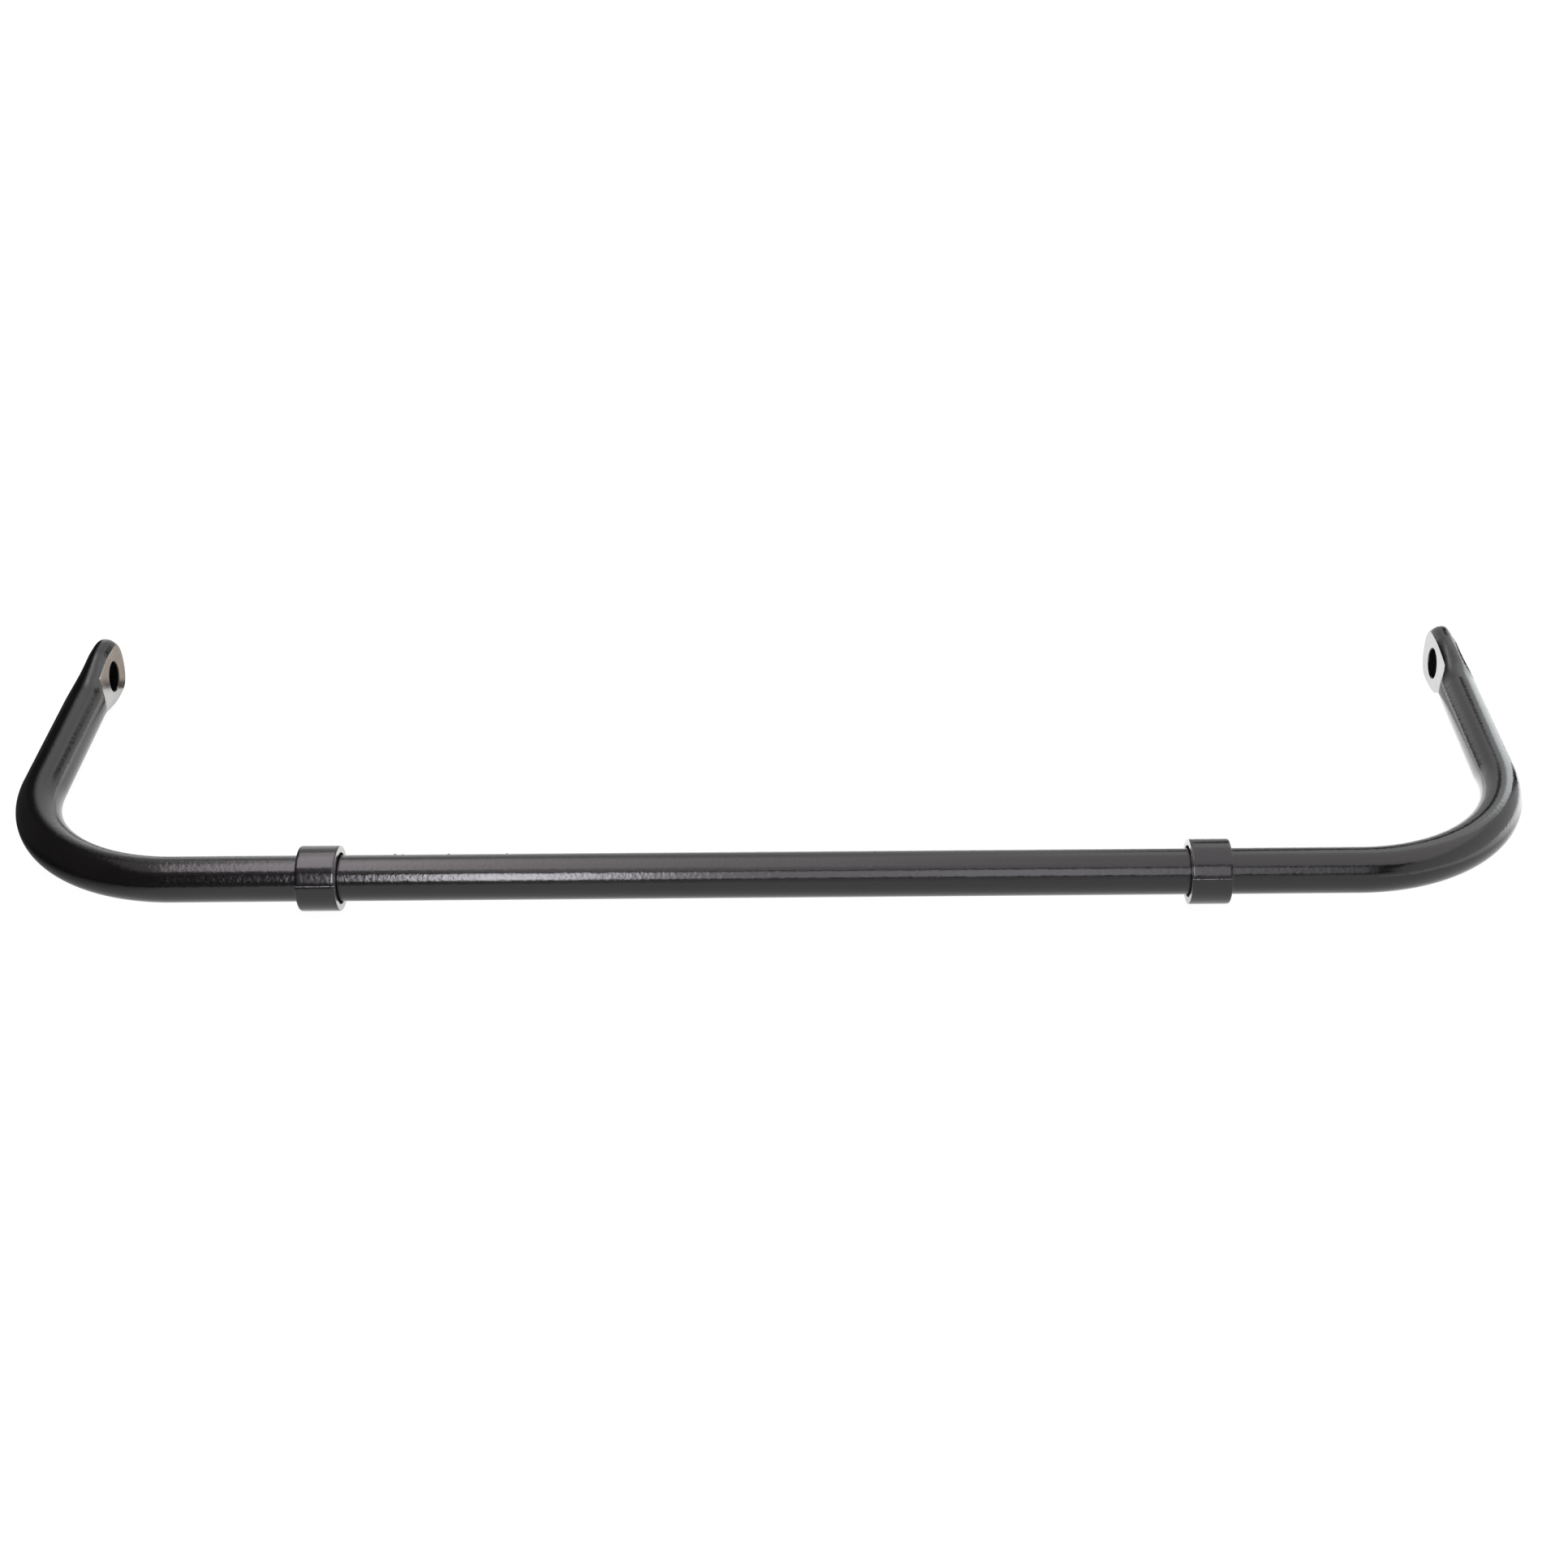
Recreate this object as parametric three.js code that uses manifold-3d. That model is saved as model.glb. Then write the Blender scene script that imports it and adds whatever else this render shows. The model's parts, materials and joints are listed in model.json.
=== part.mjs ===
// Automotive sway bar (anti-roll bar), lying flat.
// +X runs along the torsion bar, +Y points from the bar towards the link eyes, +Z is up.
// The origin is the middle of the box around the part, at the level of the surface it lies on.
// All lengths are in millimetres.

import * as THREE from 'three';
import { mergeVertices } from 'three/addons/utils/BufferGeometryUtils.js';
import Module from 'manifold-3d';

// ---------- driving dimensions ----------

const BAR_RADIUS = 12.7; // solid round bar, 25.4 mm in diameter
const HALF_SPAN = 420; // middle of the part to the corner where bar and arm axes would meet
const BEND_RADIUS = 100; // of the bar's axis
const ARM_SPLAY = THREE.MathUtils.degToRad(2.5); // each arm leans outwards by this angle

const EYE_REACH = 233; // bar axis to the link hole's axis, along Y
const EYE_INNER_X = 421.3; // plane of the pressed flat that faces the middle of the part
const EYE_THICKNESS = 16;
const EYE_HALF_HEIGHT = 20; // at the crown, halfway between the flats
const EYE_END = 23.8; // link hole's axis to the end of the eye
const EYE_CORNER = 11; // radius of the two corners at the end of the eye
const EYE_NECK = 38; // link hole's axis back to where the eye starts inside the round arm
const EYE_NECK_HALF_HEIGHT = 6;
const EYE_CROWN = 3.6; // how far the crown around the eye stands out beyond the flats' outlines
const EYE_CROWN_DEPTH = 7; // from a flat to the crown
const LINK_HOLE_RADIUS = 9.5;
const INNER_SHOULDER = 35; // link hole's axis back to where the inner flat starts
const OUTER_SHOULDER = 31; // the same for the shallower outer flat
const SHOULDER_RAMP = 11; // length of the slope from the round arm down to a flat

const COLLAR_X = 242; // middle of the part to the middle of each collar
const COLLAR_WIDTH = 21.6;
const COLLAR_RADIUS = 18;
const COLLAR_BORE_RADIUS = 14.1;
const COLLAR_EDGE = 0.7; // rounded outer edges
const COLLAR_SEAM_TILT = THREE.MathUtils.degToRad(19.5); // front seam lies this far above the arms
const SEAM_GAP = 0.4;

const LINER_INNER_RADIUS = 13;
const LINER_RADIUS = 13.8;
const LINER_SETBACK = 1; // how far the liner stops short of each end of its collar
const LINER_SLIT = 1.2;

const BAR_SIDES = 36;
const BEND_STEPS = 18;
const HOLE_SIDES = 40;
const RING_SIDES = 56;

// ---------- derived dimensions ----------

const BEND_TURN = Math.PI / 2 - ARM_SPLAY;
const BEND_START_X = HALF_SPAN - BEND_RADIUS * Math.tan(BEND_TURN / 2);
const EYE_OUTER_X = EYE_INNER_X + EYE_THICKNESS;
const CLEAR = 60; // a length that takes a cutter well past the bar on every side
const PAST_SURFACE = 1; // how far outside the round arm a cutter begins

// The part lies on its eyes, and the box runs from the collars' front to the ends of the eyes.
const AXIS_Z = EYE_HALF_HEIGHT;
const AXIS_Y = (COLLAR_RADIUS - EYE_REACH - EYE_END) / 2;

// ---------- materials ----------

const powderCoat = new THREE.MeshStandardMaterial({ color: 0x161517, roughness: 0.32, metalness: 0.1 });
const collarCoat = new THREE.MeshStandardMaterial({ color: 0x1b1a1c, roughness: 0.36, metalness: 0.1 });
const linerRubber = new THREE.MeshStandardMaterial({ color: 0x0b0b0b, roughness: 0.8, metalness: 0 });

// ---------- solids ----------

const wasm = await Module();
wasm.setup();

function toSolid(geometry) {
  const bare = geometry.clone();
  bare.deleteAttribute('normal');
  bare.deleteAttribute('uv');
  const merged = mergeVertices(bare, 1e-4);
  return new wasm.Manifold(new wasm.Mesh({
    numProp: 3,
    vertProperties: new Float32Array(merged.attributes.position.array),
    triVerts: new Uint32Array(merged.index.array),
  }));
}

function toGeometry(solid) {
  const mesh = solid.getMesh();
  const geometry = new THREE.BufferGeometry();
  geometry.setAttribute('position', new THREE.BufferAttribute(mesh.vertProperties, 3));
  geometry.setIndex(new THREE.BufferAttribute(mesh.triVerts, 1));
  geometry.computeVertexNormals();
  return geometry;
}

function boxBetween(low, high) {
  const geometry = new THREE.BoxGeometry(high.x - low.x, high.y - low.y, high.z - low.z);
  geometry.translate((low.x + high.x) / 2, (low.y + high.y) / 2, (low.z + high.z) / 2);
  return geometry;
}

// A ring around the X axis from a closed outline of (distance along X, radius) points.
function ringAroundX(outline) {
  const profile = outline.map(([along, radius]) => new THREE.Vector2(radius, along));
  profile.push(profile[0].clone());
  const geometry = new THREE.LatheGeometry(profile, RING_SIDES);
  geometry.rotateZ(-Math.PI / 2);
  return geometry;
}

// ---------- torsion bar ----------

// The bar's axis as a chain of stations: close together round a bend, far apart on a straight run.
class StationCurve extends THREE.Curve {
  constructor(stations) {
    super();
    this.stations = stations;
  }

  getPoint(t, target = new THREE.Vector3()) {
    const along = THREE.MathUtils.clamp(t, 0, 1) * (this.stations.length - 1);
    const index = Math.min(Math.floor(along), this.stations.length - 2);
    return target.lerpVectors(this.stations[index], this.stations[index + 1], along - index);
  }

  getUtoTmapping(u) {
    return u;
  }
}

function armAxisX(y) {
  return HALF_SPAN + y * Math.tan(ARM_SPLAY);
}

function halfAxisStations() {
  const stations = [];
  for (let i = 0; i <= BEND_STEPS; i += 1) {
    const turned = (BEND_TURN * i) / BEND_STEPS;
    const x = BEND_START_X + BEND_RADIUS * Math.sin(turned);
    const y = BEND_RADIUS - BEND_RADIUS * Math.cos(turned);
    stations.push(new THREE.Vector3(x, y, 0));
  }
  stations.push(new THREE.Vector3(armAxisX(EYE_REACH), EYE_REACH, 0));
  return stations;
}

function roundBar() {
  const right = halfAxisStations();
  const left = right.map((point) => new THREE.Vector3(-point.x, point.y, 0)).reverse();
  const axis = new StationCurve([...left, ...right]);
  const section = [];
  for (let i = 0; i < BAR_SIDES; i += 1) {
    const angle = (2 * Math.PI * i) / BAR_SIDES;
    section.push(new THREE.Vector2(BAR_RADIUS * Math.cos(angle), BAR_RADIUS * Math.sin(angle)));
  }
  return new THREE.ExtrudeGeometry(new THREE.Shape(section), {
    steps: axis.stations.length - 1,
    extrudePath: axis,
    bevelEnabled: false,
  });
}

// Side view of an eye about its hole: narrow where it starts inside the arm, blunt at its end.
function eyeOutline() {
  const outline = new THREE.Shape();
  const widestFrom = -EYE_NECK * 0.3;
  const endCornerX = EYE_END - EYE_CORNER;
  const endCornerZ = EYE_HALF_HEIGHT - EYE_CORNER;
  outline.moveTo(-EYE_NECK, -EYE_NECK_HALF_HEIGHT);
  outline.quadraticCurveTo(-EYE_NECK * 0.7, -EYE_HALF_HEIGHT, widestFrom, -EYE_HALF_HEIGHT);
  outline.lineTo(endCornerX, -EYE_HALF_HEIGHT);
  outline.absarc(endCornerX, -endCornerZ, EYE_CORNER, -Math.PI / 2, 0);
  outline.absarc(endCornerX, endCornerZ, EYE_CORNER, 0, Math.PI / 2);
  outline.lineTo(widestFrom, EYE_HALF_HEIGHT);
  outline.quadraticCurveTo(-EYE_NECK * 0.7, EYE_HALF_HEIGHT, -EYE_NECK, EYE_NECK_HALF_HEIGHT);
  return outline;
}

function eyeBlade() {
  const geometry = new THREE.ExtrudeGeometry(eyeOutline(), {
    depth: EYE_THICKNESS - 2 * EYE_CROWN_DEPTH,
    curveSegments: 8,
    bevelSize: EYE_CROWN,
    bevelThickness: EYE_CROWN_DEPTH,
    bevelOffset: -EYE_CROWN,
    bevelSegments: 5,
  });
  // The outline was drawn in X and Y and extruded along Z: send those to Y, Z and X.
  geometry.rotateZ(Math.PI / 2);
  geometry.rotateY(Math.PI / 2);
  geometry.translate(EYE_INNER_X + EYE_CROWN_DEPTH, EYE_REACH, 0);
  return geometry;
}

// Cuts the round arm down to a flat, with a slope at the flat's start.
// side is -1 for the flat that faces the middle of the part and +1 for the outer one.
function flatCutter(side, flatX, shoulder) {
  const start = EYE_REACH - shoulder;
  const awayX = armAxisX(EYE_REACH) + side * CLEAR;
  const roundX = armAxisX(start) + side * (BAR_RADIUS + PAST_SURFACE);
  const outline = new THREE.Shape([
    new THREE.Vector2(flatX, start + SHOULDER_RAMP),
    new THREE.Vector2(flatX, EYE_REACH + CLEAR),
    new THREE.Vector2(awayX, EYE_REACH + CLEAR),
    new THREE.Vector2(awayX, start),
    new THREE.Vector2(roundX, start),
  ]);
  const geometry = new THREE.ExtrudeGeometry(outline, { depth: 2 * CLEAR, bevelEnabled: false });
  geometry.translate(0, 0, -CLEAR);
  return geometry;
}

function linkHole() {
  const geometry = new THREE.CylinderGeometry(LINK_HOLE_RADIUS, LINK_HOLE_RADIUS, CLEAR, HOLE_SIDES);
  geometry.rotateZ(Math.PI / 2);
  geometry.translate(EYE_INNER_X + EYE_THICKNESS / 2, EYE_REACH, 0);
  return geometry;
}

function torsionBar() {
  const cutters = [
    flatCutter(-1, EYE_INNER_X, INNER_SHOULDER),
    flatCutter(1, EYE_OUTER_X, OUTER_SHOULDER),
  ].map(toSolid);
  const blade = toSolid(eyeBlade());
  const hole = toSolid(linkHole());
  const mirrored = (solid) => solid.mirror([1, 0, 0]);
  let bar = toSolid(roundBar());
  for (const place of [(solid) => solid, mirrored]) {
    for (const cutter of cutters) {
      bar = bar.subtract(place(cutter));
    }
    bar = bar.add(place(blade)).subtract(place(hole));
  }
  return toGeometry(bar);
}

// ---------- collars and liners ----------

// A collar is two half shells, cut apart on a plane through the bar's axis.
function collarHalf(isUpper) {
  const halfWidth = COLLAR_WIDTH / 2;
  const ring = toSolid(ringAroundX([
    [-halfWidth, COLLAR_BORE_RADIUS],
    [-halfWidth, COLLAR_RADIUS - COLLAR_EDGE],
    [-halfWidth + COLLAR_EDGE, COLLAR_RADIUS],
    [halfWidth - COLLAR_EDGE, COLLAR_RADIUS],
    [halfWidth, COLLAR_RADIUS - COLLAR_EDGE],
    [halfWidth, COLLAR_BORE_RADIUS],
  ]));
  const keptFrom = new THREE.Vector3(-CLEAR, -CLEAR, SEAM_GAP / 2);
  const keptTo = new THREE.Vector3(CLEAR, CLEAR, CLEAR);
  const kept = boxBetween(keptFrom, keptTo);
  if (!isUpper) {
    kept.rotateX(Math.PI);
  }
  kept.rotateX(-COLLAR_SEAM_TILT);
  return toGeometry(ring.intersect(toSolid(kept)));
}

// The liner is one sleeve, slit along the side that faces the eyes.
function liner() {
  const halfWidth = COLLAR_WIDTH / 2 - LINER_SETBACK;
  const sleeve = toSolid(ringAroundX([
    [-halfWidth, LINER_INNER_RADIUS],
    [-halfWidth, LINER_RADIUS],
    [halfWidth, LINER_RADIUS],
    [halfWidth, LINER_INNER_RADIUS],
  ]));
  const slit = boxBetween(
    new THREE.Vector3(-CLEAR, 0, -LINER_SLIT / 2),
    new THREE.Vector3(CLEAR, CLEAR, LINER_SLIT / 2),
  );
  return toGeometry(sleeve.subtract(toSolid(slit)));
}

// ---------- assembly ----------

function addPart(parent, name, geometry, material) {
  const mesh = new THREE.Mesh(geometry, material);
  mesh.name = name;
  parent.add(mesh);
}

const swayBar = new THREE.Group();
swayBar.position.set(0, AXIS_Y, AXIS_Z);
addPart(swayBar, 'torsion_bar', torsionBar(), powderCoat);

for (const [side, sign] of [['left', -1], ['right', 1]]) {
  const station = new THREE.Group();
  station.position.x = sign * COLLAR_X;
  addPart(station, `${side}_collar_upper`, collarHalf(true), collarCoat);
  addPart(station, `${side}_collar_lower`, collarHalf(false), collarCoat);
  addPart(station, `${side}_liner`, liner(), linerRubber);
  swayBar.add(station);
}

export default swayBar;
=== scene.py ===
import json
import math

import bmesh
import bpy
from mathutils import Matrix, Vector, noise


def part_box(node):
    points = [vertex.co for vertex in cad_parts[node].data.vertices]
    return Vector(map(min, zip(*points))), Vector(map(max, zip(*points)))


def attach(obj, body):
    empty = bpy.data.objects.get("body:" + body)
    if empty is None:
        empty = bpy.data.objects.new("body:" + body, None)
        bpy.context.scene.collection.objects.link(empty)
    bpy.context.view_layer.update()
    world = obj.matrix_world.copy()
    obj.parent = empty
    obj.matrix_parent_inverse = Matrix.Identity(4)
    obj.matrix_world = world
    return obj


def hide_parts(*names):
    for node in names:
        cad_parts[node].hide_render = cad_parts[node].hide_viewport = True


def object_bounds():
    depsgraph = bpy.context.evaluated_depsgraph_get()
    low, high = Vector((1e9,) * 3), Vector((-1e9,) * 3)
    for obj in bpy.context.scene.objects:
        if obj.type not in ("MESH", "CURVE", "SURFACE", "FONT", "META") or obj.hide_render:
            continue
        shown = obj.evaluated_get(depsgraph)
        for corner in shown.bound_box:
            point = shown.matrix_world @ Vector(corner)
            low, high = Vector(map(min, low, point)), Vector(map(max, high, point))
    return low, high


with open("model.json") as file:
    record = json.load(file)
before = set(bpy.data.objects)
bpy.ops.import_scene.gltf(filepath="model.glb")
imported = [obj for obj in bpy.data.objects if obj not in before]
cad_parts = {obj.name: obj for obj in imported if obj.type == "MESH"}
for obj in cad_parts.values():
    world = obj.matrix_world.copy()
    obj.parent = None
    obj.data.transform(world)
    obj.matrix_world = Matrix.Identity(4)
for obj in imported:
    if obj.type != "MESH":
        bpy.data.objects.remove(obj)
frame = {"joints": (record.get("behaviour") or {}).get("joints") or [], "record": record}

cad_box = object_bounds()

# Lengths are in metres, like the frame. +X runs along the torsion bar, +Y towards the eyes, +Z up.
MM = 0.001


# ---------- places and sizes read from the frame ----------

def mount_place(name):
    for mount in frame["record"]["mounts"]:
        if mount["name"] == name:
            return Vector(mount["pos_m"])
    raise KeyError(name)


def opening_centre(name):
    for opening in frame["record"]["physics"]["openings"]:
        if opening["name"] == name:
            low, high = (Vector(corner) for corner in opening["box_m"])
            return (low + high) / 2
    raise KeyError(name)


def joint_place(name):
    for joint in frame["joints"]:
        if joint["name"] == name:
            return Vector(joint["pos_m"])
    raise KeyError(name)


BAR_LOW, BAR_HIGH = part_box("torsion_bar")
COLLAR_LOW, COLLAR_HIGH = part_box("right_collar_lower")
LINER_LOW, LINER_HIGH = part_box("right_liner")
COLLAR_PLACE = joint_place("right_collar_turn")
HOLE_PLACE = opening_centre("right_link_hole")

AXIS_Y = COLLAR_PLACE.y
AXIS_Z = COLLAR_PLACE.z
BAR_RADIUS = AXIS_Y - BAR_LOW.y
EYE_REACH = HOLE_PLACE.y - AXIS_Y
EYE_END = BAR_HIGH.y - HOLE_PLACE.y
EYE_INNER_X = mount_place("right_eye_inner_face").x
EYE_OUTER_X = mount_place("right_eye_outer_face").x
COLLAR_RADIUS = AXIS_Z - COLLAR_LOW.z
COLLAR_WIDTH = COLLAR_HIGH.x - COLLAR_LOW.x
LINER_RADIUS = (LINER_HIGH.z - LINER_LOW.z) / 2

# The bar's path, as in the CAD source.
HALF_SPAN = 420 * MM
BEND_RADIUS = 100 * MM
ARM_SPLAY = math.radians(2.5)
BEND_TURN = math.pi / 2 - ARM_SPLAY
BEND_START_X = HALF_SPAN - BEND_RADIUS * math.tan(BEND_TURN / 2)
LINK_HOLE_RADIUS = 9.5 * MM
HOLE_CHAMFER = 0.5 * MM


# ---------- small helpers ----------

def mix(a, b, t):
    return a + (b - a) * t


def ease(value, start, end):
    """0 before start, 1 after end, and a smooth step between them."""
    t = min(1.0, max(0.0, (value - start) / (end - start)))
    return t * t * (3 - 2 * t)


def smooth_min(a, b, reach):
    """The smaller of two numbers, blended where they are within reach of each other."""
    t = min(1.0, max(0.0, 0.5 + 0.5 * (b - a) / reach))
    return mix(b, a, t) - reach * t * (1 - t)


def smooth_max(a, b, reach):
    return -smooth_min(-a, -b, reach)


def mesh_object(name, mesh, materials):
    piece = bpy.data.objects.new(name, mesh)
    bpy.context.scene.collection.objects.link(piece)
    for material in materials:
        mesh.materials.append(material)
    return piece


def ring_mesh(name, rings, side_slot=lambda step, index: 0, cap_slot=0):
    """A closed mesh round a chain of rings of points, capped at both ends.

    side_slot gives a side face's material index, from its step along the chain and its place
    round the ring.
    """
    made = bmesh.new()
    placed = [[made.verts.new(point) for point in ring] for ring in rings]
    count = len(placed[0])
    for step, (before, after) in enumerate(zip(placed, placed[1:])):
        for index in range(count):
            following = (index + 1) % count
            face = made.faces.new((before[index], before[following], after[following], after[index]))
            face.material_index = side_slot(step, index)
    for ring in (placed[0], placed[-1]):
        made.faces.new(ring).material_index = cap_slot
    bmesh.ops.recalc_face_normals(made, faces=made.faces)
    mesh = bpy.data.meshes.new(name)
    made.to_mesh(mesh)
    made.free()
    return mesh


def shade_smooth(piece, sharp_degrees=32):
    """Smooth shading with flat faces kept flat beside the rounded edges."""
    mesh = piece.data
    for polygon in mesh.polygons:
        polygon.use_smooth = True
    mesh.set_sharp_from_angle(angle=math.radians(sharp_degrees))
    weighted = piece.modifiers.new("weighted_normals", "WEIGHTED_NORMAL")
    weighted.keep_sharp = True


# ---------- materials ----------

class Shader:
    """A Principled material with short calls for the nodes that every material here needs."""

    def __init__(self, name, **values):
        self.material = bpy.data.materials.new(name)
        self.material.use_nodes = True
        self.tree = self.material.node_tree
        self.surface = self.tree.nodes["Principled BSDF"]
        self.coordinates = self.node("ShaderNodeTexCoord").outputs["Object"]
        for socket, value in values.items():
            self.surface.inputs[socket.replace("_", " ")].default_value = value

    def node(self, kind, **properties):
        made = self.tree.nodes.new(kind)
        for key, value in properties.items():
            setattr(made, key, value)
        return made

    def link(self, source, target):
        self.tree.links.new(source, target)

    def stretched(self, factors):
        """The object's coordinates, scaled by a factor on each axis."""
        mapping = self.node("ShaderNodeMapping")
        mapping.inputs["Scale"].default_value = factors
        self.link(self.coordinates, mapping.inputs["Vector"])
        return mapping.outputs["Vector"]

    def noise(self, scale, detail=2.0, roughness=0.5, vector=None):
        made = self.node("ShaderNodeTexNoise")
        made.inputs["Scale"].default_value = scale
        made.inputs["Detail"].default_value = detail
        made.inputs["Roughness"].default_value = roughness
        self.link(vector or self.coordinates, made.inputs["Vector"])
        return made.outputs["Fac"]

    def spread(self, source, low, high, from_low=0.3, from_high=0.7):
        """source's usual range, carried over to low..high."""
        made = self.node("ShaderNodeMapRange")
        made.inputs["From Min"].default_value = from_low
        made.inputs["From Max"].default_value = from_high
        made.inputs["To Min"].default_value = low
        made.inputs["To Max"].default_value = high
        self.link(source, made.inputs["Value"])
        return made.outputs["Result"]

    def colours(self, source, *stops):
        """A colour ramp of (position, colour) stops."""
        made = self.node("ShaderNodeValToRGB")
        elements = made.color_ramp.elements
        for index, (position, colour) in enumerate(stops):
            element = elements[index] if index < 2 else elements.new(position)
            element.position = position
            element.color = (*colour, 1.0)
        self.link(source, made.inputs["Fac"])
        return made.outputs["Color"]

    def profile(self, source, stops):
        """A share from 0 to 1 that follows (place, share) stops along source."""
        first, last = stops[0][0], stops[-1][0]
        place = self.spread(source, 0.0, 1.0, first, last)
        stops = [((at - first) / (last - first), (share, share, share)) for at, share in stops]
        return self.colours(place, *stops)

    def product(self, a, b):
        made = self.node("ShaderNodeMath", operation="MULTIPLY")
        self.link(a, made.inputs[0])
        self.link(b, made.inputs[1])
        return made.outputs["Value"]

    def tinted_sum(self, colour, share, under=None):
        """colour times share, added to what lies under it."""
        tinted = self.node("ShaderNodeVectorMath", operation="SCALE")
        tinted.inputs[0].default_value = colour
        self.link(share, tinted.inputs["Scale"])
        if under is None:
            return tinted.outputs["Vector"]
        total = self.node("ShaderNodeVectorMath", operation="ADD")
        self.link(tinted.outputs["Vector"], total.inputs[0])
        self.link(under, total.inputs[1])
        return total.outputs["Vector"]

    def bump(self, source, depth, under=None):
        made = self.node("ShaderNodeBump")
        made.inputs["Distance"].default_value = depth
        self.link(source, made.inputs["Height"])
        if under is not None:
            self.link(under, made.inputs["Normal"])
        return made.outputs["Normal"]

    def use(self, **sockets):
        for socket, source in sockets.items():
            self.link(source, self.surface.inputs[socket.replace("_", " ")])
        return self.material


def powder_coat(name, tint, roughness, peel_depth):
    """Glossy black powder coat: a faint brown and blue drift in colour, and orange peel."""
    shader = Shader(name, IOR=1.5)
    drift = shader.noise(scale=14, detail=3)
    dark = tuple(channel * 0.75 for channel in tint)
    light = tuple(channel * 1.3 for channel in tint)
    colour = shader.colours(drift, (0.3, dark), (0.7, light))
    cloud = shader.noise(scale=60, detail=4, roughness=0.6)
    gloss = shader.spread(cloud, roughness * 0.85, roughness * 1.2)
    coarse_peel = shader.bump(shader.noise(scale=430, detail=1), peel_depth)
    fine_peel = shader.bump(shader.noise(scale=1500, detail=2), peel_depth * 0.45, coarse_peel)
    return shader.use(Base_Color=colour, Roughness=gloss, Normal=fine_peel)


def machined_steel(name, shade=1.0):
    """Pressed and faced metal: fine lines across the flat and a light cloudiness."""
    shader = Shader(name, Metallic=1.0)
    cloud = shader.noise(scale=90, detail=5, roughness=0.65)
    dull = (0.50 * shade, 0.49 * shade, 0.48 * shade)
    clean = (0.60 * shade, 0.59 * shade, 0.575 * shade)
    colour = shader.colours(cloud, (0.3, dull), (0.7, clean))
    lines = shader.noise(scale=1.0, detail=2, vector=shader.stretched((300, 120, 5200)))
    gloss = shader.spread(cloud, 0.20, 0.30)
    return shader.use(Base_Color=colour, Roughness=gloss, Normal=shader.bump(lines, 0.006 * MM))


def bare_edge(name):
    """The worn bright edge along a collar's seam."""
    shader = Shader(name, Metallic=1.0)
    chips = shader.noise(scale=900, detail=3)
    colour = shader.colours(chips, (0.35, (0.08, 0.08, 0.08)), (0.62, (0.55, 0.54, 0.54)))
    return shader.use(
        Base_Color=colour,
        Roughness=shader.spread(chips, 0.3, 0.55),
        Normal=shader.bump(chips, 0.03 * MM),
    )


def liner_rubber(name):
    shader = Shader(name, Specular_IOR_Level=0.08)
    grain = shader.noise(scale=1500, detail=3)
    dust = shader.noise(scale=120, detail=4, roughness=0.7)
    colour = shader.colours(dust, (0.35, (0.004, 0.004, 0.004)), (0.75, (0.016, 0.015, 0.014)))
    return shader.use(
        Base_Color=colour,
        Roughness=shader.spread(grain, 0.55, 0.8),
        Normal=shader.bump(grain, 0.05 * MM),
    )


BAR_COAT = powder_coat("bar_coat", (0.0042, 0.0038, 0.0040), roughness=0.12, peel_depth=0.075 * MM)
COLLAR_COAT = powder_coat("collar_coat", (0.0055, 0.005, 0.0055), roughness=0.13, peel_depth=0.05 * MM)
FACED_STEEL = machined_steel("faced_steel", shade=0.93)
SEAM_EDGE = bare_edge("seam_edge")
FACED_END = machined_steel("faced_end", shade=0.75)
LINER = liner_rubber("liner")


# ---------- the bar ----------

# A section has the same four runs of points everywhere: the inner flat, over the top, the outer
# flat, and back along the bottom. On the round bar the flats' runs just lie on the circle.
FLAT_POINTS = 24
TOP_POINTS = 40
OUTER_POINTS = 16
DENSE_POINTS = 720
ROUND_ANCHOR = math.radians(20)

# Distances along the arm are from the link hole's axis. The eye is an ellipse in section, drawn
# out to a blunt end and cut by the two flats.
EYE_FIRST = -48 * MM
EYE_HALF_HEIGHT = (BAR_HIGH.z - BAR_LOW.z) / 2
EYE_INNER_HALF = 12.0 * MM  # half widths of the uncut ellipse, on each side of its centre
EYE_OUTER_HALF = 9.1 * MM
EYE_CENTRE_X = EYE_INNER_X + 7.5 * MM
EYE_POWER = 2.1  # 2 is an ellipse, more is squarer
END_POWER = 5.0
END_EDGE = 4.5 * MM
END_EDGE_SETBACK = 3.3 * MM
EYE_SETTLES = (-45 * MM, -12 * MM)  # the arm's axis runs over into the eye's
EYE_FORMS = (-44 * MM, -8 * MM)  # the round section turns into the eye's
EYE_RISES = (-42 * MM, 2 * MM)  # the section grows to the eye's height
INNER_CREST = -36 * MM  # where each flat leaves the round bar, and how steeply it runs in
INNER_SLOPE = 0.5
OUTER_CREST = -31 * MM
OUTER_SLOPE = 0.32
INNER_RUNOUT = 1.5 * MM  # rounding between that run and the flat itself
OUTER_RUNOUT = 2.5 * MM
INNER_CREASE = (1.6 * MM, 0.35 * MM)  # rounding of the flat's edge, before and on the eye
INNER_CREASE_SHARPENS = (-34 * MM, -22 * MM)
OUTER_CREASE = 3.5 * MM

# Specks of dust under the coat, as (X, angle from +Y round the bar, radius).
COAT_NIBS = (
    (-201.5 * MM, math.radians(58), 0.55 * MM),
    (-197.0 * MM, math.radians(64), 0.40 * MM),
    (-172.0 * MM, math.radians(59), 0.50 * MM),
    (-140.0 * MM, math.radians(58), 0.40 * MM),
    (-88.0 * MM, math.radians(140), 0.35 * MM),
    (61.0 * MM, math.radians(75), 0.35 * MM),
    (214.0 * MM, math.radians(100), 0.30 * MM),
)


def arm_axis_x(along):
    return HALF_SPAN + math.tan(ARM_SPLAY) * (EYE_REACH + along)


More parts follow.
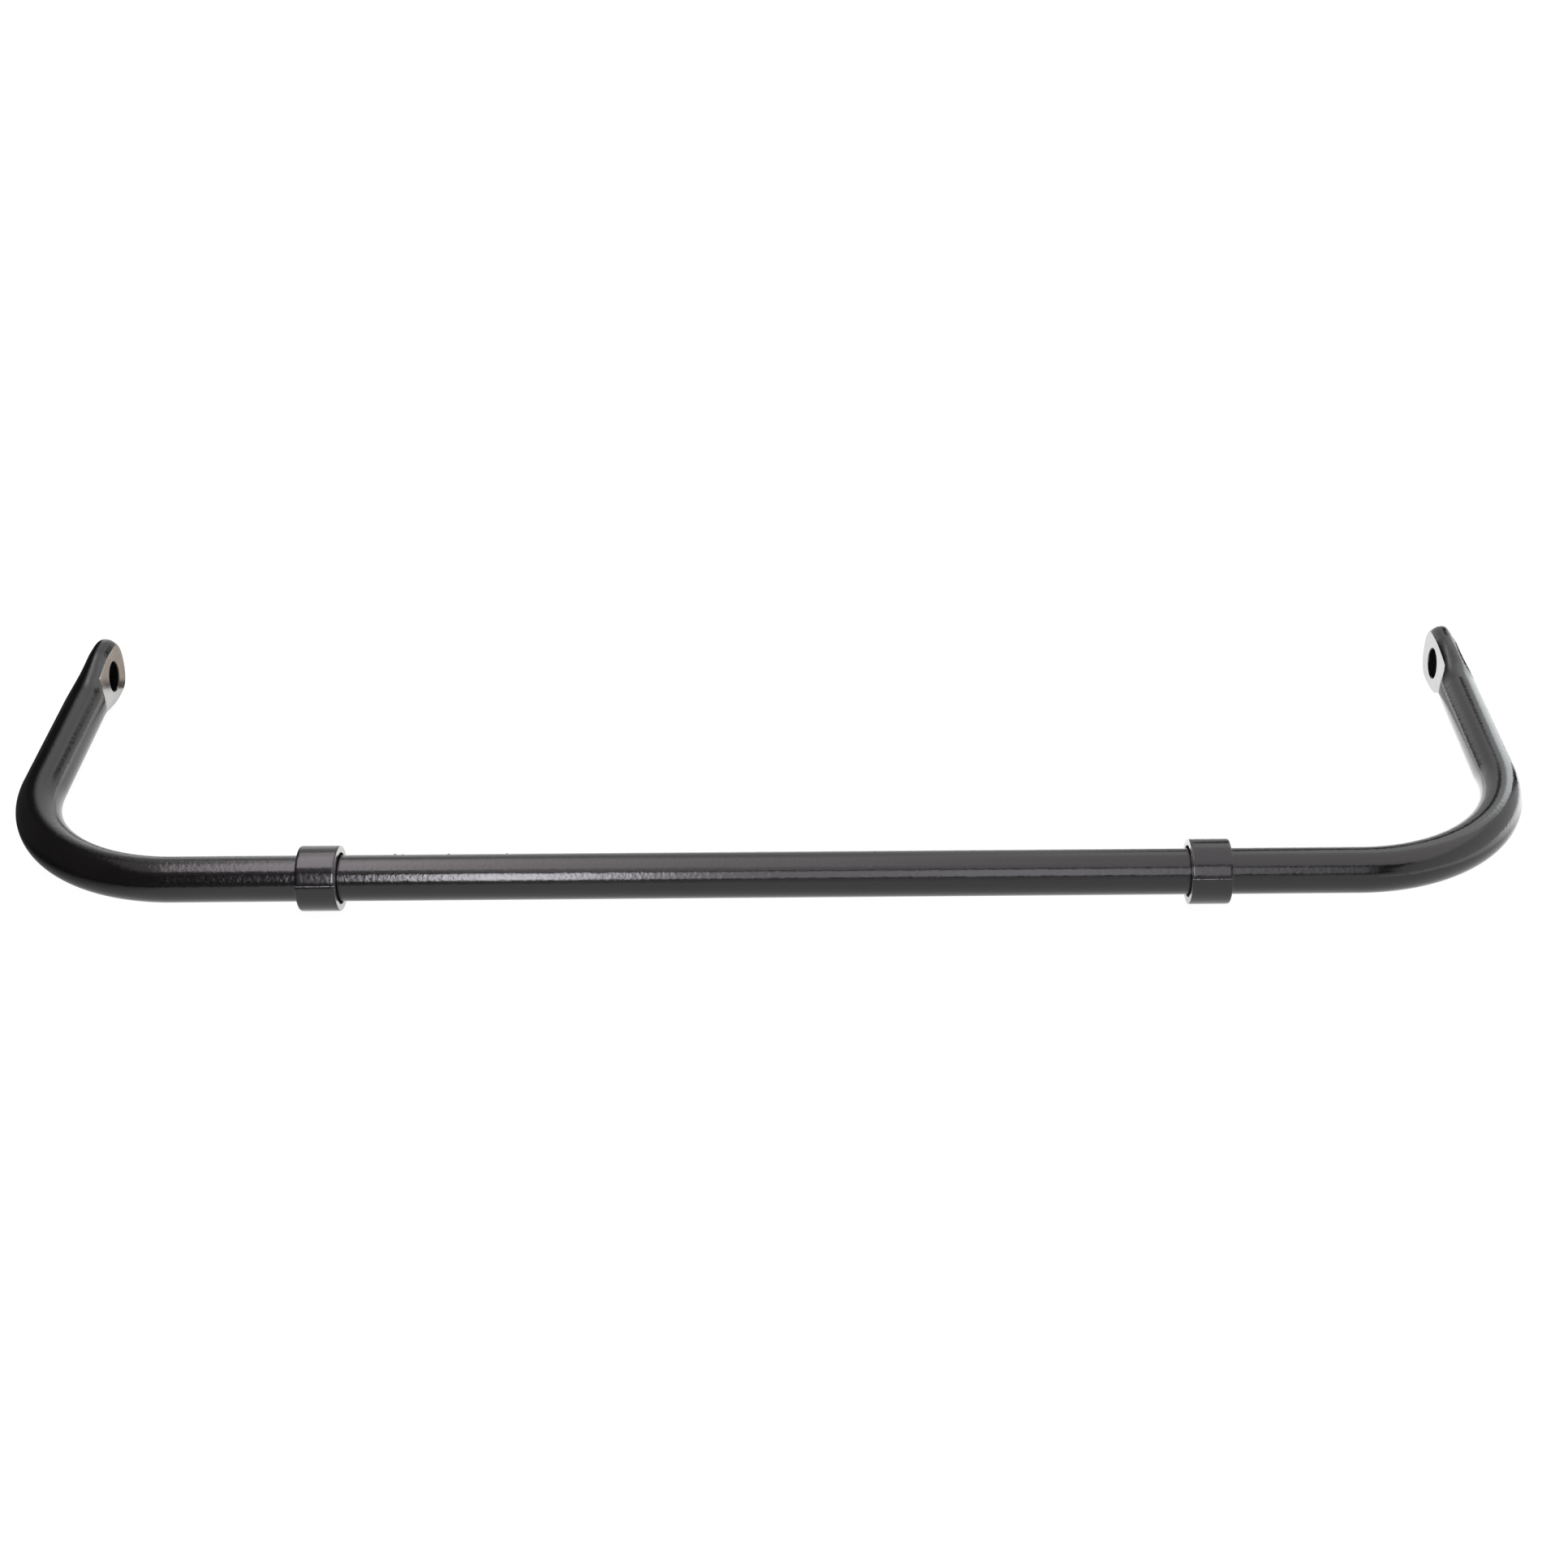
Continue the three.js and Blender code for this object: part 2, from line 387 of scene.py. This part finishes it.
def end_rounding(along, edge):
    """How much a width has drawn in, where the end's outer edge is rounded."""
    past = min(edge, max(0.0, along - (EYE_END - END_EDGE_SETBACK - edge)))
    return edge - math.sqrt(edge * edge - past * past)


def eye_ring(along, left):
    """The eye's ring at a distance along the arm. left is 1, falling to 0 at the end's tip."""
    settled = ease(along, *EYE_SETTLES)
    shaped = ease(along, *EYE_FORMS)
    power = mix(2.0, EYE_POWER, shaped)
    shrink = left ** (1 / power)
    half_height = mix(BAR_RADIUS, EYE_HALF_HEIGHT, ease(along, *EYE_RISES))
    inner_half = mix(BAR_RADIUS, EYE_INNER_HALF, shaped)
    outer_half = mix(BAR_RADIUS, EYE_OUTER_HALF, shaped)
    centre_x = mix(arm_axis_x(along), EYE_CENTRE_X, settled)
    inner_flat = smooth_max(
        centre_x - EYE_INNER_X, BAR_RADIUS - (along - INNER_CREST) * INNER_SLOPE, INNER_RUNOUT
    )
    outer_flat = smooth_max(
        EYE_OUTER_X - centre_x, BAR_RADIUS - (along - OUTER_CREST) * OUTER_SLOPE, OUTER_RUNOUT
    ) - end_rounding(along, END_EDGE)
    crease_share = min(1, shrink + 0.05)
    inner_soft = mix(*INNER_CREASE, ease(along, *INNER_CREASE_SHARPENS)) * crease_share
    outer_soft = OUTER_CREASE * crease_share

    def reach(angle):
        across, up = math.cos(angle), math.sin(angle)
        width = outer_half if across > 0 else inner_half
        blob = (left / (abs(across / width) ** power + abs(up / half_height) ** power)) ** (1 / power)
        flat, soft = (outer_flat, outer_soft) if across > 0 else (inner_flat, inner_soft)
        return smooth_min(blob, flat / max(abs(across), 1e-6), soft)

    def crease(flat, width):
        height = half_height * max(0.0, left - (max(flat, 0.0) / width) ** power) ** (1 / power)
        return math.atan2(height, flat)

    inner_anchor = smooth_max(crease(inner_flat, inner_half), ROUND_ANCHOR * shrink, 0.1)
    outer_anchor = smooth_max(crease(outer_flat, outer_half), ROUND_ANCHOR * shrink, 0.1)
    section = section_points(reach, inner_anchor, outer_anchor, half_height, inner_half)
    centre = Vector((centre_x, EYE_REACH + along, 0))
    return ring_at(centre, mix(BEND_TURN, math.pi / 2, settled), section)


def section_points(reach, inner_anchor, outer_anchor, half_height, half_width):
    """Points round a section, from its reach in every direction and the angles of its creases."""
    runs = (
        (math.pi + inner_anchor, math.pi - inner_anchor, FLAT_POINTS, False),
        (math.pi - inner_anchor, outer_anchor, TOP_POINTS, True),
        (outer_anchor, -outer_anchor, OUTER_POINTS, False),
        (-outer_anchor, inner_anchor - math.pi, TOP_POINTS, True),
    )
    points = []
    for start, end, count, crowd_ends in runs:
        chain = dense_chain(reach, start, end, half_height / half_width)
        points.extend(resampled(chain, count, crowd_ends))
    return points


def dense_chain(reach, start, end, squash):
    """A fine chain of points between two directions, evenly spread on a flattened section too."""
    def unsquashed(angle):
        turns = math.floor((angle + math.pi) / (2 * math.pi))
        flat = angle - turns * 2 * math.pi
        return math.atan2(math.sin(flat), math.cos(flat) * squash) + turns * 2 * math.pi

    first, last = unsquashed(start), unsquashed(end)
    count = max(12, int(DENSE_POINTS * abs(last - first) / (2 * math.pi)))
    chain = []
    for index in range(count + 1):
        even = mix(first, last, index / count)
        angle = math.atan2(math.sin(even) * squash, math.cos(even))
        if index == 0:
            angle = start
        if index == count:
            angle = end
        distance = reach(angle)
        chain.append(Vector((distance * math.cos(angle), distance * math.sin(angle))))
    return chain


def resampled(chain, count, crowd_ends):
    """count points along a chain, without its last one, closer together at the ends if asked."""
    lengths = [0.0]
    for before, after in zip(chain, chain[1:]):
        lengths.append(lengths[-1] + (after - before).length)
    points = []
    index = 0
    for step in range(count):
        share = step / count
        if crowd_ends:
            share = mix(share, 0.5 - 0.5 * math.cos(math.pi * share), 0.8)
        wanted = share * lengths[-1]
        while index < len(lengths) - 2 and lengths[index + 1] < wanted:
            index += 1
        span = max(lengths[index + 1] - lengths[index], 1e-12)
        points.append(chain[index].lerp(chain[index + 1], (wanted - lengths[index]) / span))
    return points


def round_section():
    return section_points(lambda angle: BAR_RADIUS, ROUND_ANCHOR, ROUND_ANCHOR, 1.0, 1.0)


def ring_at(centre, heading, section):
    """A section placed on the path. heading is the path's angle from +X in the plan."""
    outwards = Vector((math.sin(heading), -math.cos(heading), 0.0))
    return [centre + outwards * point.x + Vector((0, 0, point.y)) for point in section]


def right_half_rings():
    """Rings from the middle of the bar, round the right bend and out to the end of the eye."""
    rings = []
    plain = round_section()
    straight_steps, bend_steps, arm_steps, eye_steps, end_steps = 12, 56, 10, 60, 48
    for step in range(1, straight_steps):
        rings.append(ring_at(Vector((BEND_START_X * step / straight_steps, 0, 0)), 0.0, plain))
    for step in range(bend_steps + 1):
        turned = BEND_TURN * step / bend_steps
        x = BEND_START_X + BEND_RADIUS * math.sin(turned)
        y = BEND_RADIUS * (1 - math.cos(turned))
        rings.append(ring_at(Vector((x, y, 0)), turned, plain))

    bend_end_y = BEND_RADIUS * (1 - math.cos(BEND_TURN))
    arm_start = Vector((HALF_SPAN + math.tan(ARM_SPLAY) * bend_end_y, bend_end_y, 0))
    arm_end = Vector((arm_axis_x(EYE_FIRST), EYE_REACH + EYE_FIRST, 0))
    for step in range(1, arm_steps):
        rings.append(ring_at(arm_start.lerp(arm_end, step / arm_steps), BEND_TURN, plain))

    for step in range(eye_steps + 1):
        rings.append(eye_ring(mix(EYE_FIRST, 0.0, step / eye_steps), 1.0))
    for step in range(1, end_steps + 1):
        left = max(0.012, math.cos(math.pi / 2 * step / end_steps)) ** EYE_POWER
        rings.append(eye_ring(EYE_END * (1 - left) ** (1 / END_POWER), left))
    return rings


def swept_bar_mesh():
    right = right_half_rings()
    left = [[Vector((-p.x, p.y, p.z)) for p in ring] for ring in reversed(right)]
    middle = ring_at(Vector((0, 0, 0)), 0.0, round_section())
    offset = Vector((0, AXIS_Y, AXIS_Z))
    return ring_mesh("bar", [[point + offset for point in ring] for ring in left + [middle] + right])


def hole_cutter(side):
    """A cutter for one link hole, with a small chamfer at both mouths."""
    steps = 96
    past = 4 * MM
    profile = (
        (EYE_INNER_X - past, LINK_HOLE_RADIUS + HOLE_CHAMFER + past),
        (EYE_INNER_X + HOLE_CHAMFER, LINK_HOLE_RADIUS),
        (EYE_OUTER_X - HOLE_CHAMFER, LINK_HOLE_RADIUS),
        (EYE_OUTER_X + past, LINK_HOLE_RADIUS + HOLE_CHAMFER + past),
    )
    rings = []
    for x, radius in profile:
        ring = []
        for step in range(steps):
            angle = 2 * math.pi * step / steps
            y = HOLE_PLACE.y + radius * math.cos(angle)
            z = HOLE_PLACE.z + radius * math.sin(angle)
            ring.append((side * x, y, z))
        rings.append(ring)
    return mesh_object("hole_cutter", ring_mesh("hole_cutter", rings), [])


def cut(piece, cutter):
    """Takes the cutter's shape out of the piece, for good."""
    boolean = piece.modifiers.new("cut", "BOOLEAN")
    boolean.operation = "DIFFERENCE"
    boolean.solver = "EXACT"
    boolean.object = cutter
    bpy.context.view_layer.update()
    evaluated = piece.evaluated_get(bpy.context.evaluated_depsgraph_get())
    mesh = bpy.data.meshes.new_from_object(evaluated)
    piece.modifiers.clear()
    old = piece.data
    piece.data = mesh
    bpy.data.meshes.remove(old)
    bpy.data.objects.remove(cutter)


def add_nibs(piece):
    """Raises the specks of dust on the bar."""
    made = bmesh.new()
    made.from_mesh(piece.data)
    for x, rise, radius in COAT_NIBS:
        sunk = BAR_RADIUS - radius * 0.35
        place = Vector((x, AXIS_Y + sunk * math.cos(rise), AXIS_Z + sunk * math.sin(rise)))
        stretched = Matrix.Translation(place) @ Matrix.Diagonal((1.8, 1.0, 1.0, 1.0))
        bmesh.ops.create_icosphere(made, subdivisions=2, radius=radius, matrix=stretched)
    made.to_mesh(piece.data)
    made.free()


FLAT_TOLERANCE = 0.12 * MM


def face_the_flats(piece):
    """Gives the inner flats the bare steel and leaves the rest in the coat."""
    mesh = piece.data
    for polygon in mesh.polygons:
        centre = polygon.center
        on_plane = abs(abs(centre.x) - EYE_INNER_X) < FLAT_TOLERANCE
        facing_in = polygon.normal.x * math.copysign(1, centre.x) < -0.75
        polygon.material_index = 1 if on_plane and facing_in else 0


def build_bar():
    piece = mesh_object("bar_forging", swept_bar_mesh(), [BAR_COAT, FACED_STEEL])
    for side in (-1, 1):
        cut(piece, hole_cutter(side))
    add_nibs(piece)
    face_the_flats(piece)
    shade_smooth(piece)
    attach(piece, "bar")
    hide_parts("torsion_bar")


# ---------- collars and liners ----------

SEAM_TILT = math.radians(19.5)
SEAM_GAP = 0.08 * MM
SEAM_BEVEL = 0.10 * MM
COLLAR_BORE = 14.1 * MM
COLLAR_EDGE = (1.7 * MM, 0.35 * MM)  # along the bar and across it: a long, shallow rounding
BORE_EDGE = (0.3 * MM, 0.3 * MM)
SEAM_GAP_ANGLE = SEAM_GAP / 2 / COLLAR_RADIUS
SEAM_BEVEL_ANGLE = SEAM_BEVEL / COLLAR_RADIUS
SEAM_STEPS = 5  # rings across each seam's rounded edge
SHELL_STEPS = 80  # and between the two seams

LINER_BORE = BAR_RADIUS + 0.12 * MM
LINER_SLIT = 1.2 * MM
LINER_EDGE = (0.2 * MM, 0.2 * MM)
RAGGED_DEPTH = 0.9 * MM
RAGGED_LENGTH = 3 * MM


def rounded_profile(width, low_radius, high_radius, low_edge, high_edge, steps=7):
    """The closed outline (along, radius) of a ring's section. An edge is the (along, across)
    lengths of a rounded corner."""
    high_along, high_across = high_edge
    low_along, low_across = low_edge
    corners = (
        (-width / 2 + high_along, high_radius - high_across, high_edge, math.pi),
        (width / 2 - high_along, high_radius - high_across, high_edge, math.pi / 2),
        (width / 2 - low_along, low_radius + low_across, low_edge, 0.0),
        (-width / 2 + low_along, low_radius + low_across, low_edge, -math.pi / 2),
    )
    outline = []
    for centre_along, centre_radius, (edge_along, edge_across), start in corners:
        for step in range(steps + 1):
            angle = start - math.pi / 2 * step / steps
            along = centre_along + edge_along * math.cos(angle)
            outline.append((along, centre_radius + edge_across * math.sin(angle)))
    return outline


def with_long_runs_split(outline, longest):
    """The outline with points added on its straight runs."""
    points = []
    for here, following in zip(outline, outline[1:] + outline[:1]):
        gap = math.dist(here, following)
        pieces = max(1, math.ceil(gap / longest))
        for step in range(pieces):
            share = step / pieces
            points.append((mix(here[0], following[0], share), mix(here[1], following[1], share)))
    return points


def half_shell_angles():
    """Angles from a half shell's first seam to its second, close together at both seams."""
    first = SEAM_GAP_ANGLE + SEAM_BEVEL_ANGLE
    quarter = math.pi / 2
    angles = []
    for step in range(SEAM_STEPS):
        angles.append(SEAM_GAP_ANGLE + SEAM_BEVEL_ANGLE * (1 - math.cos(quarter * step / SEAM_STEPS)))
    rise = list(angles)
    for step in range(SHELL_STEPS + 1):
        angles.append(first + (math.pi - 2 * first) * step / SHELL_STEPS)
    angles.extend(math.pi - angle for angle in reversed(rise))
    return angles


def seam_inset(angle, along, seed):
    """How far a shell's outside is worn back at a place beside the seam."""
    wobble = noise.noise(Vector((along * 900, seed * 7.3, 4.0 if angle > 1 else 0.0)))
    bevel = SEAM_BEVEL_ANGLE * (1 + 0.7 * wobble)
    from_seam = min(angle, math.pi - angle) - SEAM_GAP_ANGLE
    nearness = max(0.0, 1 - from_seam / bevel)
    return SEAM_BEVEL * (1 - math.sqrt(max(0.0, 1 - nearness * nearness)))


def collar_half_mesh(centre_x, is_upper, seed):
    """One half shell. Its seam edges are rounded, unevenly, so that the seam line looks worn."""
    outline = with_long_runs_split(
        rounded_profile(COLLAR_WIDTH, COLLAR_BORE, COLLAR_RADIUS, BORE_EDGE, COLLAR_EDGE), 0.7 * MM
    )
    middle = (COLLAR_BORE + COLLAR_RADIUS) / 2
    angles = half_shell_angles()
    # The front seam is on the -Y side, above the arms' plane by the seam's tilt.
    start = -SEAM_TILT if is_upper else math.pi - SEAM_TILT
    rings = []
    for angle in angles:
        ring = []
        for along, radius in outline:
            if radius > middle:
                radius -= seam_inset(angle, along, seed)
            y = radius * math.cos(start + angle)
            z = radius * math.sin(start + angle)
            ring.append((centre_x + along, AXIS_Y + y, AXIS_Z + z))
        rings.append(ring)

    def slot(step, index):
        """The faced steel on the ends, bare metal beside the seams and the coat elsewhere."""
        following = (index + 1) % len(outline)
        nearer = min(abs(outline[index][0]), abs(outline[following][0]))
        if nearer > COLLAR_WIDTH / 2 - 0.05 * MM:
            return 2
        beside_seam = step < SEAM_STEPS or step >= len(angles) - 1 - SEAM_STEPS
        return 1 if beside_seam and outline[index][1] > middle else 0

    return ring_mesh("collar_half", rings, slot, cap_slot=1)


def build_collar(side, sign):
    for seed, (level, is_upper) in enumerate((("upper", True), ("lower", False))):
        mesh = collar_half_mesh(sign * COLLAR_PLACE.x, is_upper, seed + 2 * sign)
        piece = mesh_object(f"{side}_collar_shell_{level}", mesh, [COLLAR_COAT, SEAM_EDGE, FACED_END])
        shade_smooth(piece, sharp_degrees=50)
        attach(piece, f"{side}_collar")
        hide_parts(f"{side}_collar_{level}")


def liner_mesh(sign):
    """The slit sleeve under a collar, with ragged ends just inside the collar's."""
    steps = 160
    slit = LINER_SLIT / LINER_RADIUS
    width = LINER_HIGH.x - LINER_LOW.x
    centre_x = sign * (LINER_LOW.x + LINER_HIGH.x) / 2
    outline = with_long_runs_split(
        rounded_profile(width, LINER_BORE, LINER_RADIUS, LINER_EDGE, LINER_EDGE, steps=3), 0.8 * MM
    )
    rings = []
    for step in range(steps + 1):
        angle = slit / 2 + (2 * math.pi - slit) * step / steps
        coarse = noise.noise(Vector((4 * math.cos(angle), 4 * math.sin(angle), sign)))
        fine = noise.noise(Vector((17 * math.cos(angle), 17 * math.sin(angle), sign)))
        ragged = (0.5 * coarse + 0.35 * fine) * RAGGED_DEPTH
        ring = []
        for along, radius in outline:
            stretch = ragged * ease(abs(along), width / 2 - RAGGED_LENGTH, width / 2)
            x = centre_x + along + math.copysign(1.0, along) * stretch
            y = AXIS_Y + radius * math.cos(angle)
            z = AXIS_Z + radius * math.sin(angle)
            ring.append((x, y, z))
        rings.append(ring)
    return ring_mesh("liner", rings)


def build_liner(side, sign):
    piece = mesh_object(f"{side}_liner_sleeve", liner_mesh(sign), [LINER])
    shade_smooth(piece, sharp_degrees=50)
    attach(piece, "bar")
    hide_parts(f"{side}_liner")


# ---------- floor, light and camera ----------

WHITE = (1.0, 1.0, 1.0)
EVEN = ((-1.0, 1.0), (1.0, 1.0))


def plane_mesh(name, width, depth):
    mesh = bpy.data.meshes.new(name)
    x, y = width / 2, depth / 2
    mesh.from_pydata([(-x, -y, 0), (x, -y, 0), (x, y, 0), (-x, y, 0)], [], [(0, 1, 2, 3)])
    return mesh


def glowing_card(name, size, patches):
    """A flat scrim that glows in patches, facing +Z. The camera doesn't see it.

    A patch is (radiance, tint, across, along): across and along are (metres from the middle,
    share) stops, along the card's own X and Y.
    """
    shader = Shader(name, Base_Color=(0, 0, 0, 1), Specular_IOR_Level=0.0, Emission_Strength=1.0)
    places = shader.node("ShaderNodeSeparateXYZ")
    shader.link(shader.coordinates, places.inputs["Vector"])
    total = None
    for radiance, tint, across, along in patches:
        share = shader.product(
            shader.profile(places.outputs["X"], across), shader.profile(places.outputs["Y"], along)
        )
        colour = tuple(radiance * channel for channel in tint)
        total = shader.tinted_sum(colour, share, total)
    card = mesh_object(name, plane_mesh(name, *size), [shader.use(Emission_Color=total)])
    card.visible_camera = False
    return card


def arc_card(name, rise, distance, centre_x, size, patches, turn=0.0):
    """A scrim on an arc over the bar, facing it, its Y in the direction of a growing rise.

    rise is in degrees, from the horizon in front, over the top, to the horizon behind. turn, in
    degrees too, is about the scrim's own middle.
    """
    card = glowing_card(name, size, patches)
    turned = math.radians(rise)
    card.location = (
        centre_x, AXIS_Y - distance * math.cos(turned), AXIS_Z + distance * math.sin(turned)
    )
    card.rotation_euler.x = math.pi / 2 - turned
    card.matrix_basis = card.matrix_basis @ Matrix.Rotation(math.radians(turn), 4, "Z")


def side_card(name, place, size, patches):
    """A scrim that stands on its side at the right, facing -X, its own X upwards."""
    card = glowing_card(name, size, patches)
    card.location = place
    card.rotation_euler = (0, -math.pi / 2, 0)


def floor_card(name, centre, size, height, patches):
    """A scrim lying just above the floor, seen only in the gloss of the coat."""
    card = glowing_card(name, size, patches)
    card.location = (*centre, cad_box[0][2] - height)
    card.visible_diffuse = False
    card.visible_shadow = False


def build_floor():
    """A pale floor. In the gloss its place is taken by cards, dark on the far left."""
    shader = Shader("floor", Roughness=0.9, Specular_IOR_Level=0.1)
    tone = shader.noise(scale=3, detail=3)
    colour = shader.colours(tone, (0.3, (0.118, 0.118, 0.118)), (0.7, (0.122, 0.122, 0.122)))
    shader.surface.inputs["Emission Color"].default_value = (1.0, 1.0, 1.0, 1.0)
    shader.surface.inputs["Emission Strength"].default_value = 0.93
    floor = mesh_object("floor", plane_mesh("floor", 30, 30), [shader.use(Base_Color=colour)])
    floor.location.z = cad_box[0][2] - 0.5 * MM
    floor.visible_glossy = False

    floor_card("floor_card", (0, 0), (5, 5), 0.2 * MM, [
        (1.05, WHITE,
         ((-0.455, 0.02), (-0.41, 0.3), (-0.35, 0.85), (-0.30, 1.0)),
         ((-0.08, 1.0), (0.0, 0.0))),
        (2.6, WHITE,
         ((-0.455, 0.02), (-0.43, 0.08), (-0.415, 0.38), (-0.30, 0.5), (0.0, 0.75), (0.25, 1.0)),
         ((-0.08, 0.0), (0.0, 1.0))),
        (1.0, (0.97, 0.99, 1.0), ((0.46, 0.0), (0.50, 1.0)), EVEN),
    ])
    dark_front = ((-0.083, 0.15), (-0.074, 0.15), (-0.070, 1.0))
    floor_card("left_eye_card", (-0.41, 0.217), (0.09, 0.166), 0.1 * MM, [
        (0.50, (1.0, 0.86, 0.76), EVEN, dark_front),
    ])
    floor_card("right_eye_card", (0.38, 0.19), (0.13, 0.16), 0.1 * MM, [
        (1.2, (0.97, 0.98, 1.0), EVEN, EVEN),
    ])


def build_backdrop():
    """A pale dome that closes the view above the floor. It lights nothing and isn't mirrored."""
    mesh = bpy.data.meshes.new("backdrop")
    dome = bmesh.new()
    bmesh.ops.create_uvsphere(dome, u_segments=48, v_segments=24, radius=14)
    dome.to_mesh(mesh)
    dome.free()
    shader = Shader("backdrop", Base_Color=(0, 0, 0, 1), Specular_IOR_Level=0.0, Emission_Strength=1.0)
    tone = shader.noise(scale=0.2, detail=2)
    colour = shader.colours(tone, (0.3, (0.94, 0.94, 0.94)), (0.7, (0.96, 0.96, 0.96)))
    backdrop = mesh_object("backdrop", mesh, [shader.use(Emission_Color=colour)])
    backdrop.visible_diffuse = False
    backdrop.visible_glossy = False
    backdrop.visible_shadow = False


def build_lights():
    """The studio round the bar: a narrow bright key low in front with a long faint bank beside it,
    a broad overhead scrim that is hottest on the left, a dim wall behind with a darker flag before
    it, and a plain scrim on the right."""
    arc_card("key", 31, 2.3, 0.0, (2.4, 1.62), [
        (19.0, (0.97, 0.94, 1.0),
         ((-0.95, 0.003), (-0.84, 0.002), (-0.77, 0.005), (-0.70, 0.05), (-0.62, 0.47), (-0.54, 0.90),
          (-0.48, 1.0), (-0.40, 0.85), (-0.34, 0.45), (-0.25, 0.17), (-0.10, 0.12), (0.4, 0.19),
          (0.8, 0.10), (1.0, 0.04)),
         ((-0.62, 0.0), (-0.52, 1.0), (0.70, 1.0), (0.80, 0.0))),
    ])
    arc_card("front_low", 7, 2.5, 0.0, (4.0, 0.58), [
        (0.95, WHITE, ((-1.0, 0.12), (-0.6, 0.45), (-0.1, 0.75), (0.3, 1.0)), EVEN),
    ])
    arc_card("overhead", 89.5, 2.2, 0.6, (4.4, 3.14), [
        (1.95, (1.0, 0.96, 0.985),
         ((-1.7, 0.1), (-1.4, 0.28), (-1.22, 0.85), (-1.0, 1.0), (-0.2, 0.95)),
         ((-1.57, 0.8), (-0.7, 0.97), (1.57, 0.92))),
        (5.0, (1.0, 0.92, 0.97),
         ((-1.70, 0.1), (-1.58, 0.6), (-1.46, 1.0), (-1.34, 0.83), (-1.22, 0.55), (-1.10, 0.34),
          (-0.84, 0.22), (-0.60, 0.13), (-0.33, 0.04), (-0.1, 0.0)),
         ((-0.80, 0.0), (-0.64, 1.0), (0.8, 1.0), (1.57, 0.6))),
    ])
    arc_card("wall", 152.5, 3.4, 0.0, (6.4, 3.54), [
        (1.75, WHITE,
         ((-2.0, 0.02), (-1.7, 0.22), (-1.45, 0.6), (-1.1, 0.95), (-0.7, 1.0)),
         ((-1.77, 1.0), (-0.9, 0.72), (-0.4, 0.55), (1.7, 0.5))),
        (2.0, (1.0, 0.95, 0.98),
         ((-1.4, 0.0), (-1.22, 0.8), (-1.0, 1.0), (-0.7, 0.6), (-0.2, 0.0)),
         ((-1.77, 1.0), (-1.4, 1.0), (-0.8, 0.0))),
        (0.8, (0.94, 0.98, 1.0),
         ((0.0, 0.0), (1.2, 1.0)),
         ((-1.77, 0.8), (-0.1, 0.9), (0.5, 0.0))),
        (2.6, (0.93, 0.99, 1.0),
         ((1.85, 0.0), (2.15, 1.0)),
         ((-0.9, 0.0), (-0.5, 1.0))),
        (1.0, WHITE,
         ((-1.75, 0.0), (-1.5, 1.0), (-0.9, 0.6), (-0.6, 0.2), (0.0, 0.2), (0.3, 0.0)),
         ((-0.1, 0.0), (0.5, 0.5), (1.3, 1.0))),
    ])
    arc_card("flag", 155, 3.17, 1.02, (1.1, 0.46), [
        (1.0, WHITE, ((-0.55, 1.1), (-0.4, 0.08), (0.4, 0.08), (0.55, 1.1)), EVEN),
    ], turn=44)
    side_card("right_side", (3.4, -1.2, 1.6), (3.2, 8.0), [
        (1.4, (0.97, 0.98, 1.0), ((-1.6, 1.0), (1.6, 0.8)), ((-4.0, 0.75), (0.0, 1.0))),
    ])
    world = bpy.data.worlds.new("studio")
    world.use_nodes = True
    world.node_tree.nodes["Background"].inputs["Color"].default_value = (0.05, 0.05, 0.05, 1.0)
    bpy.context.scene.world = world
    bpy.context.scene.view_settings.view_transform = "Standard"


# From the middle of the torsion bar's axis, and then the way the camera is turned.
CAMERA_OFFSET = (32.4 * MM, -965.8 * MM, 654.2 * MM)
CAMERA_HEADING = 1.18
CAMERA_DOWNWARDS = 31.68
CAMERA_ROLL = -1.14


def build_camera():
    data = bpy.data.cameras.new("camera")
    data.sensor_width = 36.0
    data.lens = 49.0
    camera = bpy.data.objects.new("camera", data)
    x, y, z = CAMERA_OFFSET
    heading = Matrix.Rotation(math.radians(CAMERA_HEADING), 4, "Z")
    tilt = Matrix.Rotation(math.radians(90 - CAMERA_DOWNWARDS), 4, "X")
    roll = Matrix.Rotation(math.radians(CAMERA_ROLL), 4, "Z")
    camera.matrix_world = Matrix.Translation((x, AXIS_Y + y, AXIS_Z + z)) @ heading @ tilt @ roll
    bpy.context.scene.collection.objects.link(camera)
    bpy.context.scene.camera = camera


build_camera()
build_bar()
for side_name, side_sign in (("left", -1), ("right", 1)):
    build_liner(side_name, side_sign)
    build_collar(side_name, side_sign)
build_floor()
build_backdrop()
build_lights()
